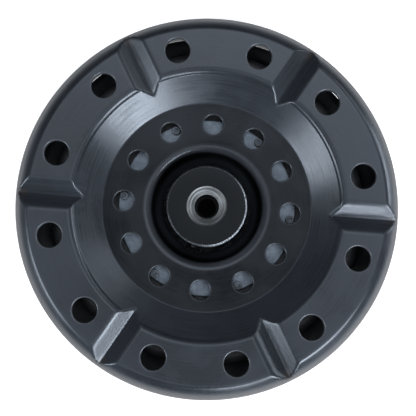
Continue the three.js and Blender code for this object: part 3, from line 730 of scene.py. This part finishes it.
def drive_bell():
    """The pressing: its outline swept round with the grooves pressed into it, then its holes cut."""
    top = refined(rounded(bell_corners(), closed=False, turn=6), top_step)
    under = refined(rounded(inner_corners(bell_corners(), SHEET), closed=False, turn=9), under_step)
    under_depth = GROOVE_DEPTH + SHEET * math.hypot(1, GROOVE_DEPTH / GROOVE_HALF)
    outline = [(p, GROOVE_DEPTH, 1.1 * MM, 0.6 * MM) for p in top]
    outline += [(p, under_depth, 3 * MM, 2 * MM) for p in reversed(under)]
    angles = bell_angles()
    bm = bmesh.new()
    rings = []
    for (r, z), depth, flat, edge in outline:
        heights = [pressed(r, z, a, depth, flat, edge) for a in angles]
        rings.append([bm.verts.new((r * math.cos(a), r * math.sin(a), h)) for a, h in zip(angles, heights)])
    skin(bm, rings + rings[:1])
    bell = new_object("bell_shell", bm)
    for holes in (OUTER_HOLES, INNER_HOLES):
        tool = hole_tool(holes["radius"], holes["lip"])
        boolean(bell, on_circle(tool, holes["ring"], around(HOLES, holes["first"]), holes["surface"]))
    return place(smooth(bell, 28), "output", "coated_steel", COAT, "drive_bell")


def hole_tool(radius, lip):
    """A cutter for a hole whose upper edge is rolled over."""
    turns = [math.radians(8 * k) for k in range(11)]
    edge = [(radius + lip - lip * math.cos(a), -lip + lip * math.sin(a)) for a in turns]
    outline = [(0, -9 * MM), (radius, -9 * MM), *edge, (radius + lip, 2 * MM), (0, 2 * MM)]
    return revolved("tool", outline, 72)


# ---------------------------------------------------------------- hub and its retaining ring
def hub():
    """The turned hub: a flange under the bell, a groove for its ring and a countersunk bore."""
    face = HUB_HIGH.z
    groove = RING_LOW.z - 0.3 * MM
    groove_top = groove + 1.8 * MM
    counterbore = face - 7 * MM
    land_r, groove_r = 22.4 * MM, 19.5 * MM
    outline = rounded([
        (SHAFT_SEAT_R, HUB_LOW.z, 0.4 * MM),
        (FLANGE_R, HUB_LOW.z, 0.8 * MM),
        (FLANGE_R, SEAT_Z, 0.6 * MM),
        (land_r, SEAT_Z, 0),
        (land_r, groove, 0),
        (groove_r, groove, 0),
        (groove_r, groove_top, 0),
        (HUB_R, groove_top, 0.15 * MM),
        (HUB_R, face - 0.7 * MM, 0.45 * MM),
        (HUB_FACE_R, face, 0.35 * MM),
        (SINK_R, face, 0.12 * MM),
        (BORE_R, face - 4 * MM, 0.2 * MM),
        (BORE_R, counterbore, 0.2 * MM),
        (SHAFT_SEAT_R, counterbore, 0),
    ])
    return place(smooth(revolved("hub_turned", outline, 160)), "output", "coated_steel", HUB_METAL, "hub")


def retaining_ring():
    """An open circlip with two eyed ears beside its gap."""
    low, high = RING_LOW.z, RING_HIGH.z
    inside, outside = 19.8 * MM, 23.5 * MM
    ear_ring = outside - 0.5 * MM
    ring = revolved("circlip", rounded([
        (inside, low, 0.1 * MM),
        (outside, low, 0.25 * MM),
        (outside, high, 0.25 * MM),
        (inside, high, 0.1 * MM),
    ], turn=30), 160)
    ears = bevelled(prism("ears", circle(1.7 * MM, 32), low, high), 0.2 * MM)
    boolean(ring, on_circle(ears, ear_ring, EARS), "UNION")
    eyes = prism("eyes", circle(0.8 * MM, 24), low - MM, high + MM)
    boolean(ring, on_circle(eyes, ear_ring, EARS))
    near, far, half_gap = 17 * MM, 27 * MM, 1.2 * MM
    gap_corners = ((near, -half_gap), (far, -half_gap), (far, half_gap), (near, half_gap))
    gap = prism("gap", gap_corners, low - MM, high + MM)
    boolean(ring, copies(gap, [Matrix.Rotation(math.radians(RING_GAP), 4, "Z")]))
    return place(smooth(ring), "output", "black_oxide", SHADED_OXIDE, "hub_retaining_ring")


# ---------------------------------------------------------------- screws
FLIP = Matrix.Rotation(math.pi, 4, "X")


def socket_screw(name, radius, length, head, height, socket):
    """A socket head screw whose head rests at z = 0, with a bevelled hexagon socket."""
    outline = rounded([
        (0, -length, 0),
        (radius * 0.8, -length, 0),
        (radius, -length + radius * 0.2, 0),
        (radius, 0, 0),
        (head, 0, head * 0.04),
        (head, height, head * 0.14),
        (0, height, 0),
    ], closed=False, turn=20)
    screw = revolved(name, outline, 40)
    cone = head * 0.08
    bottom = height * 0.35
    floor_edge = bottom + socket * 0.25
    tool = revolved("socket", [
        (0, bottom),
        (socket * 0.6, floor_edge),
        (socket, floor_edge),
        (socket, height - cone),
        (socket + cone * 1.5, height + cone * 0.5),
        (0, height + cone * 0.5),
    ], 6)
    return smooth(boolean(screw, tool))


def put_screws(stem, sizes, ring, seat, slot, material, turned=Matrix.Identity(4)):
    """A screw in each hole of the ring, with its head resting at the seat's height."""
    for k, angle in enumerate(ring["angles"]):
        node = f"{stem}_{k + 1}"
        screw = socket_screw(f"{node}_fine", **sizes)
        screw.data.transform(Matrix.Translation((*polar(ring["ring"], angle), seat)) @ turned)
        place(screw, "motor_body", slot, material, node)


def cover_screws():
    """Small screws whose heads show through the inner holes."""
    sizes = {
        "radius": 1.25 * MM,
        "length": 7 * MM,
        "head": 2.25 * MM,
        "height": 1.6 * MM,
        "socket": 1.15 * MM,
    }
    put_screws("cover_screw", sizes, COVER_SCREWS, COVER_HIGH.z + 0.3 * MM, "plated_steel", SHADED_PLATED)


def shield_screws():
    """Screws that hold the dust shield from behind."""
    sizes = {
        "radius": 2 * MM,
        "length": 8 * MM,
        "head": 3.6 * MM,
        "height": 2.4 * MM,
        "socket": 1.5 * MM,
    }
    seat = SHIELD_HIGH.z - 2.3 * MM
    put_screws("shield_screw", sizes, SHIELD_SCREWS, seat, "black_oxide", OXIDE, FLIP)


def housing_bolts():
    """Long screws through the whole stack, sunk into the rear face."""
    sizes = {
        "radius": 4 * MM,
        "length": 58 * MM,
        "head": 6.5 * MM,
        "height": 7.5 * MM,
        "socket": 3.4 * MM,
    }
    put_screws("housing_bolt", sizes, BOLTS, BOLT_SEAT_Z, "black_oxide", OXIDE, FLIP)


# ---------------------------------------------------------------- still parts seen past the bell
def dust_cover():
    """The pale plate behind the inner holes."""
    inside = 34 * MM
    plate = revolved("cover_plate", rounded([
        (inside, COVER_LOW.z, 0.2 * MM),
        (COVER_HIGH.x, COVER_LOW.z, 0.3 * MM),
        (COVER_HIGH.x, COVER_HIGH.z, 0.5 * MM),
        (inside, COVER_HIGH.z, 0.4 * MM),
    ], turn=20), 144)
    boolean(plate, screw_holes(COVER_SCREWS, COVER_LOW.z - MM, COVER_HIGH.z + MM, 24))
    return place(smooth(plate), "motor_body", "plated_steel", PLATED, "dust_cover")


def body_bores(low, high):
    """Tools for the holes that the through bolts and the dowels pass through."""
    return screw_holes(BOLTS, low, high), screw_holes(DOWELS, low, high)


def o_ring_groove(low, high):
    """The tool for the groove of either face seal."""
    inside, outside = 42.3 * MM, 45.7 * MM
    return revolved("tool", [(inside, low), (outside, low), (outside, high), (inside, high)], 96)


def front_housing():
    """The front casting: a drum under the bell, with seats for the felt ring, the seal and the bearing."""
    top = DRUM_HIGH.z
    low = DRUM_LOW.z
    felt_floor = DRUM_FLOOR_Z - 3.5 * MM
    pocket = HUB_LOW.z - 1.5 * MM
    bearing_r, seal_r = 26.3 * MM, 23.3 * MM
    felt_r, pocket_r = 40.5 * MM, 35.5 * MM
    drum = revolved("front_drum", rounded([
        (bearing_r, low, 0.5 * MM),
        (BODY_R, low, 0.5 * MM),
        (BODY_R, DRUM_STEP_Z, 3 * MM),
        (DRUM_HIGH.x, DRUM_STEP_Z, 2 * MM),
        (DRUM_HIGH.x, top, 5 * MM),
        (72 * MM, top, 1.2 * MM),
        (70 * MM, DRUM_FLOOR_Z, 2 * MM),
        (felt_r, DRUM_FLOOR_Z, 0.4 * MM),
        (felt_r, felt_floor, 0),
        (pocket_r, felt_floor, 0.4 * MM),
        (pocket_r, pocket, 0.8 * MM),
        (seal_r, pocket, 0.5 * MM),
        (seal_r, SEAL_SHOULDER_Z, 0),
        (bearing_r, SEAL_SHOULDER_Z, 0),
    ]), 160)
    bored(
        drum,
        *body_bores(low - MM, low + 18 * MM),
        o_ring_groove(low - MM, low + 2.8 * MM),
        screw_holes(COVER_SCREWS, DRUM_FLOOR_Z - 7 * MM, DRUM_FLOOR_Z + MM, 24),
        screw_holes(SHIELD_SCREWS, DRUM_STEP_Z - MM, DRUM_STEP_Z + 8 * MM, 24),
    )
    return place(smooth(drum), "motor_body", "cast_black", CASTING, "front_housing")


def offset_outline(points, distance):
    """A closed anticlockwise outline moved inwards."""
    moved = []
    for k, here in enumerate(points):
        along = (points[(k + 1) % len(points)] - points[k - 1]).normalized()
        moved.append(here + Vector((-along.y, along.x)) * distance)
    return moved


def lofted(name, outline, levels):
    """Stacked copies of an outline, each level given as (height, inset)."""
    bm = bmesh.new()
    rings = [[bm.verts.new((x, y, z)) for x, y in offset_outline(outline, inset)] for z, inset in levels]
    return capped(name, bm, rings)


def edge_levels(low, high, bottom, top, steps=4, middle=()):
    """Heights and insets for rounded bottom and top edges, with any levels between them."""
    quarter = [math.radians(90 * k / steps) for k in range(steps + 1)]
    lower = [(low + bottom * (1 - math.cos(a)), bottom * (1 - math.sin(a))) for a in quarter]
    upper = [(high - top * (1 - math.sin(a)), top * (1 - math.cos(a))) for a in quarter]
    return [*lower, *middle, *upper]


def parting_line(z):
    """Levels of the low ridge that the halves of a sand mould leave round a casting."""
    return [(z - 0.7 * MM, 0), (z - 0.25 * MM, -0.3 * MM), (z + 0.25 * MM, -0.3 * MM), (z + 0.7 * MM, 0)]


def middle_plate(node, hole, slot, material, edge, hole_y=0.0, middle=()):
    """One of the flat rings between the two housings."""
    low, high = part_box(node)
    plate = lofted(f"{node}_fine", circle(BODY_R, 180), edge_levels(low.z, high.z, edge, edge, 3, middle))
    centre = rod(hole, low.z - MM, high.z + MM, 128)
    centre.data.transform(Matrix.Translation((0, hole_y, 0)))
    bored(plate, centre, *body_bores(low.z - MM, high.z + MM))
    return place(smooth(plate), "motor_body", slot, material, node)


def kidneys(low, high):
    """Tools for the two kidney slots that feed the rotors."""
    inside, outside = 20.5 * MM, 27.5 * MM
    half = 68
    turns = [-half + half * k / 12 for k in range(25)]
    outer = [Vector(polar(outside, a)) for a in turns]
    inner = [Vector(polar(inside, -a)) for a in turns]
    slot = prism("tool", outer + inner, low, high)
    return copies(slot, [Matrix.Identity(4), Matrix.Rotation(math.pi, 4, "Z")])


def port_plate():
    """The plate between the rear housing and the rotors, with the kidney slots through it."""
    low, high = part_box("port_plate")
    plate = middle_plate("port_plate", PLATE_BORE_R, "machined_steel", GROUND, 0.4 * MM)
    return smooth(boolean(plate, kidneys(low.z - MM, high.z + MM)))


def wear_plate():
    """The plate between the rotors and the front housing."""
    return middle_plate("wear_plate", PLATE_BORE_R, "machined_steel", GROUND, 0.4 * MM)


def rotor_ring():
    """The cast ring round the rotors, bored off the shaft's axis."""
    ridge = parting_line(38 * MM)
    return middle_plate("rotor_ring", ROTOR_R, "cast_black", CASTING, 0.8 * MM, ROTOR_OFFSET, ridge)


def lying(obj, angle, z):
    """Turns a piece that stands along Z so that it points outwards at the angle, at height z."""
    outwards = Matrix.Rotation(math.radians(angle), 4, "Z") @ Matrix.Rotation(math.pi / 2, 4, "Y")
    obj.data.transform(Matrix.Translation((0, 0, z)) @ outwards)
    return obj


def threaded_bore(radius, floor, face, pitch):
    """A tool for a threaded hole with a chamfered mouth."""
    count = int((face - floor) / pitch) - 1
    depth = pitch * 0.3
    outline = [(0, floor - radius * 0.4), (radius - depth, floor)]
    for k in range(count):
        z = floor + pitch * (k + 0.5)
        outline += [(radius - depth, z), (radius, z + pitch * 0.3), (radius, z + pitch * 0.45)]
    mouth = radius + depth
    outline += [(radius - depth, face - 2 * depth), (mouth, face), (mouth, face + 2 * MM)]
    return revolved("tool", outline + [(0, face + 2 * MM)], 64)


def rear_outline():
    """The rear casting seen from behind: a round body run into a square pad for the ports."""
    pad_x, pad_y = 36 * MM, REAR_LOW.y
    corner_y = pad_y + 24 * MM
    start = math.radians(-46)
    sweep = math.pi - 2 * start
    turns = [start + sweep * k / 130 for k in range(131)]
    return rounded([
        *[(BODY_R * math.cos(a), BODY_R * math.sin(a), 0) for a in turns],
        (-pad_x, corner_y, 6 * MM),
        (-pad_x, pad_y, 5 * MM),
        (pad_x, pad_y, 5 * MM),
        (pad_x, corner_y, 6 * MM),
    ])


def port_and_valve_tools(side):
    """Tools for the work port and the check valve on one side, each with its passage."""
    port = threaded_bore(8.3 * MM, 58 * MM, -REAR_LOW.y, 1.8 * MM)
    port_passage = rod(6 * MM, 18 * MM, 59 * MM)
    valve_passage = rod(2.6 * MM, 16 * MM, 36 * MM)
    valve_chamber = rod(5 * MM, 32 * MM, 70 * MM)
    tools = [lying(tool, -90, PORT_Z) for tool in (port, port_passage)]
    tools += [lying(tool, 90, VALVE_Z) for tool in (valve_passage, valve_chamber)]
    for tool in tools:
        tool.data.transform(Matrix.Translation((side * PORT_X, 0, 0)))
    return tools


def drain_tools():
    """Tools for the drain's passage, its plug's thread and the flat under the plug's head."""
    passage = rod(3 * MM, 12 * MM, 70 * MM)
    thread = rod(5.2 * MM, 48 * MM, 70 * MM)
    spot_face = rod(9.4 * MM, BODY_R - 0.6 * MM, 70 * MM)
    return [lying(tool, 180, DRAIN_Z) for tool in (passage, thread, spot_face)]


def mounting_hole():
    """The tool for a threaded mounting hole that opens through the rear face."""
    tool = threaded_bore(MOUNT_HOLES["hole"], -12 * MM, 0, 1.25 * MM)
    tool.data.transform(FLIP)
    return tool


def rear_housing():
    """The rear casting: ports, check valves, drain, bearing seat and mounting holes."""
    top = REAR_HIGH.z
    levels = edge_levels(0, top, 1.5 * MM, 0.8 * MM, middle=parting_line(21 * MM))
    body = lofted("rear_casting", rear_outline(), levels)
    bearing_seat = rod(17.8 * MM, 12 * MM, top + MM, 96)
    shaft_pocket = rod(14 * MM, 6 * MM, 13 * MM, 96)
    bolt_counterbore = rod(7.1 * MM, -MM, 9 * MM, 64)
    bored(
        body,
        bearing_seat,
        shaft_pocket,
        kidneys(PORT_Z - 3.4 * MM, top + MM),
        *body_bores(BOLT_SEAT_Z, top + MM),
        o_ring_groove(top - 2.8 * MM, top + MM),
        on_circle(bolt_counterbore, BOLTS["ring"], BOLTS["angles"]),
        on_circle(mounting_hole(), MOUNT_HOLES["ring"], MOUNT_HOLES["angles"]),
        *drain_tools(),
        *port_and_valve_tools(-1),
        *port_and_valve_tools(1),
    )
    return place(smooth(body), "motor_body", "cast_black", CASTING, "rear_housing")


def check_plugs():
    """The socket plugs that close the two check valves."""
    face, back = 58 * MM, 47.5 * MM
    plug_r, socket_r = 4.7 * MM, 2.3 * MM
    for k, side in enumerate((-1, 1)):
        node = f"check_plug_{k + 1}"
        plug = revolved(f"{node}_fine", rounded([
            (0, back, 0),
            (plug_r, back, 0.5 * MM),
            (plug_r, face, 0.6 * MM),
            (0, face, 0),
        ], closed=False), 64)
        socket = revolved("tool", [
            (0, face - 4 * MM),
            (socket_r, face - 4 * MM),
            (socket_r, face - 0.4 * MM),
            (socket_r + 0.5 * MM, face + 0.1 * MM),
            (0, face + 0.1 * MM),
        ], 6)
        lying(boolean(plug, socket), 90, VALVE_Z)
        plug.data.transform(Matrix.Translation((side * PORT_X, 0, 0)))
        place(smooth(plug), "motor_body", "black_oxide", OXIDE, node)


def drain_plug():
    """A hexagon-headed plug with a washer face and a cut thread."""
    face = BODY_R
    back = 50 * MM
    thread_r, washer_r, head_r = 4.9 * MM, 7.2 * MM, 6.2 * MM
    thread = [(thread_r - 0.35 * MM * (k % 2), back + k * 0.6 * MM, 0) for k in range(18)]
    plug = revolved("drain_plug_fine", rounded([
        (0, back, 0),
        *thread,
        (thread_r - 0.6 * MM, face + 0.3 * MM, 0),
        (washer_r, face + 0.3 * MM, 0.3 * MM),
        (washer_r, face + 1.5 * MM, 0.4 * MM),
        (5 * MM, face + 1.6 * MM, 0),
        (0, face + 1.6 * MM, 0),
    ], closed=False), 72)
    head_levels = [(face + 1 * MM, 0), (face + 5.4 * MM, 0), (face + 6 * MM, 0.7 * MM)]
    boolean(plug, lofted("hexagon", circle(head_r, 6), head_levels), "UNION")
    return place(smooth(lying(plug, 180, DRAIN_Z)), "motor_body", "plated_steel", PLATED, "drain_plug")


def dust_shield():
    """The pressed ring that closes the gap between the drum and the bell's side."""
    low, high = SHIELD_LOW.z, SHIELD_HIGH.z
    inside, outside = 62.6 * MM, SHIELD_HIGH.x
    sheet = 2 * MM
    shield = revolved("shield_pressing", rounded([
        (inside, high - sheet, 0.3 * MM),
        (outside - sheet, high - sheet, 3 * MM),
        (outside - sheet, low, 0.4 * MM),
        (outside, low, 0.4 * MM),
        (outside, high, 5 * MM),
        (inside, high, 0.3 * MM),
    ]), 160)
    boolean(shield, screw_holes(SHIELD_SCREWS, high - 2 * sheet, high + MM, 24))
    return place(smooth(shield), "motor_body", "coated_steel", DUSTY_COAT, "dust_shield")


# ---------------------------------------------------------------- studio
LAMP_COLOUR = (0.85, 0.92, 1.0)
CAMERA_DISTANCE = 0.517
CAMERA_TILT = math.radians(4.04)


def floor():
    """A wide plain floor under the object."""
    bm = bmesh.new()
    bmesh.ops.create_grid(bm, x_segments=4, y_segments=4, size=3)
    ground = new_object("floor", bm)
    ground.data.materials.append(floor_paint())


def softbox(name, azimuth, elevation, size, power, distance=0.9):
    """A rectangular lamp aimed at the middle of the drive face. Azimuth runs anticlockwise from +X."""
    data = bpy.data.lights.new(name, "AREA")
    data.shape = "RECTANGLE"
    data.size, data.size_y = size
    data.energy = power
    data.color = LAMP_COLOUR
    lamp = bpy.data.objects.new(name, data)
    a, e = math.radians(azimuth), math.radians(elevation)
    direction = Vector((math.cos(a) * math.cos(e), math.sin(a) * math.cos(e), math.sin(e)))
    lamp.location = Vector((0, 0, FACE_Z)) + direction * distance
    lamp.rotation_mode = "QUATERNION"
    lamp.rotation_quaternion = direction.to_track_quat("Z", "Y")
    bpy.context.scene.collection.objects.link(lamp)


def sky():
    """A dim sky with a pale patch overhead, and a dark spot in it round the camera."""
    g = Graph("studio", "worlds", "Background", "Generated")
    overhead = g.ramp(g.radius, 0.28, 0.6, 1.9, 0.07)
    from_spot = g.length(g.math("ADD", g.x, 0.04), g.math("ADD", g.y, 0.03))
    g.set(Color=(0.86, 0.91, 1.0, 1), Strength=g.times(overhead, g.ramp(from_spot, 0.10, 0.30)))
    return g.owner


def studio():
    """Low softboxes for the cone, the shoulder and the grooves, under the pale sky."""
    scene = bpy.context.scene
    scene.view_settings.view_transform = "Standard"
    scene.world = sky()
    softbox("key", -52, 33, (0.42, 0.32), 9.5)
    softbox("fill", 202, 27, (0.4, 0.35), 5)
    softbox("back", 36, 25, (0.35, 0.28), 0.8)
    softbox("edge", 14, 8, (0.42, 0.14), 2.4)
    softbox("strip", -79.5, 20.5, (0.16, 0.14), 2.0, distance=0.81)
    softbox("top", 72, 62, (0.9, 0.5), 1.4)


def camera():
    """A camera almost square to the drive face, tilted a little towards -Y."""
    data = bpy.data.cameras.new("camera")
    data.sensor_width = 36
    data.lens = 86.75
    cam = bpy.data.objects.new("camera", data)
    back = Vector((0, -math.sin(CAMERA_TILT), math.cos(CAMERA_TILT)))
    target = Vector((0.66 * MM, -1.3 * MM, FACE_Z))
    cam.location = target + back * CAMERA_DISTANCE
    cam.rotation_mode = "QUATERNION"
    cam.rotation_quaternion = back.to_track_quat("Z", "Y")
    bpy.context.scene.collection.objects.link(cam)
    bpy.context.scene.camera = cam


# ---------------------------------------------------------------- carried nodes
SLOT_FINISHES = {
    "cast_black": CASTING,
    "plated_steel": PLATED,
    "machined_steel": GROUND,
    "bearing_steel": BRIGHT,
    "black_oxide": OXIDE,
    "seal_rubber": RUBBER,
    "felt": FELT,
    "coated_steel": COAT,
}


def carried_finishes():
    """Gives every CAD node the finish of its slot, for those that no finer piece replaces."""
    for part in frame["record"]["subparts"]:
        node = frame["nodes"][part["node"]]
        is_shaft = part["node"] == "output_shaft"
        node.data.materials.clear()
        node.data.materials.append(SHAFT if is_shaft else SLOT_FINISHES[part["material_slot"]])


# ---------------------------------------------------------------- assembly
camera()
floor()
studio()
drive_bell()
hub()
retaining_ring()
dust_cover()
cover_screws()
front_housing()
dust_shield()
shield_screws()
port_plate()
wear_plate()
rotor_ring()
rear_housing()
housing_bolts()
check_plugs()
drain_plug()
carried_finishes()
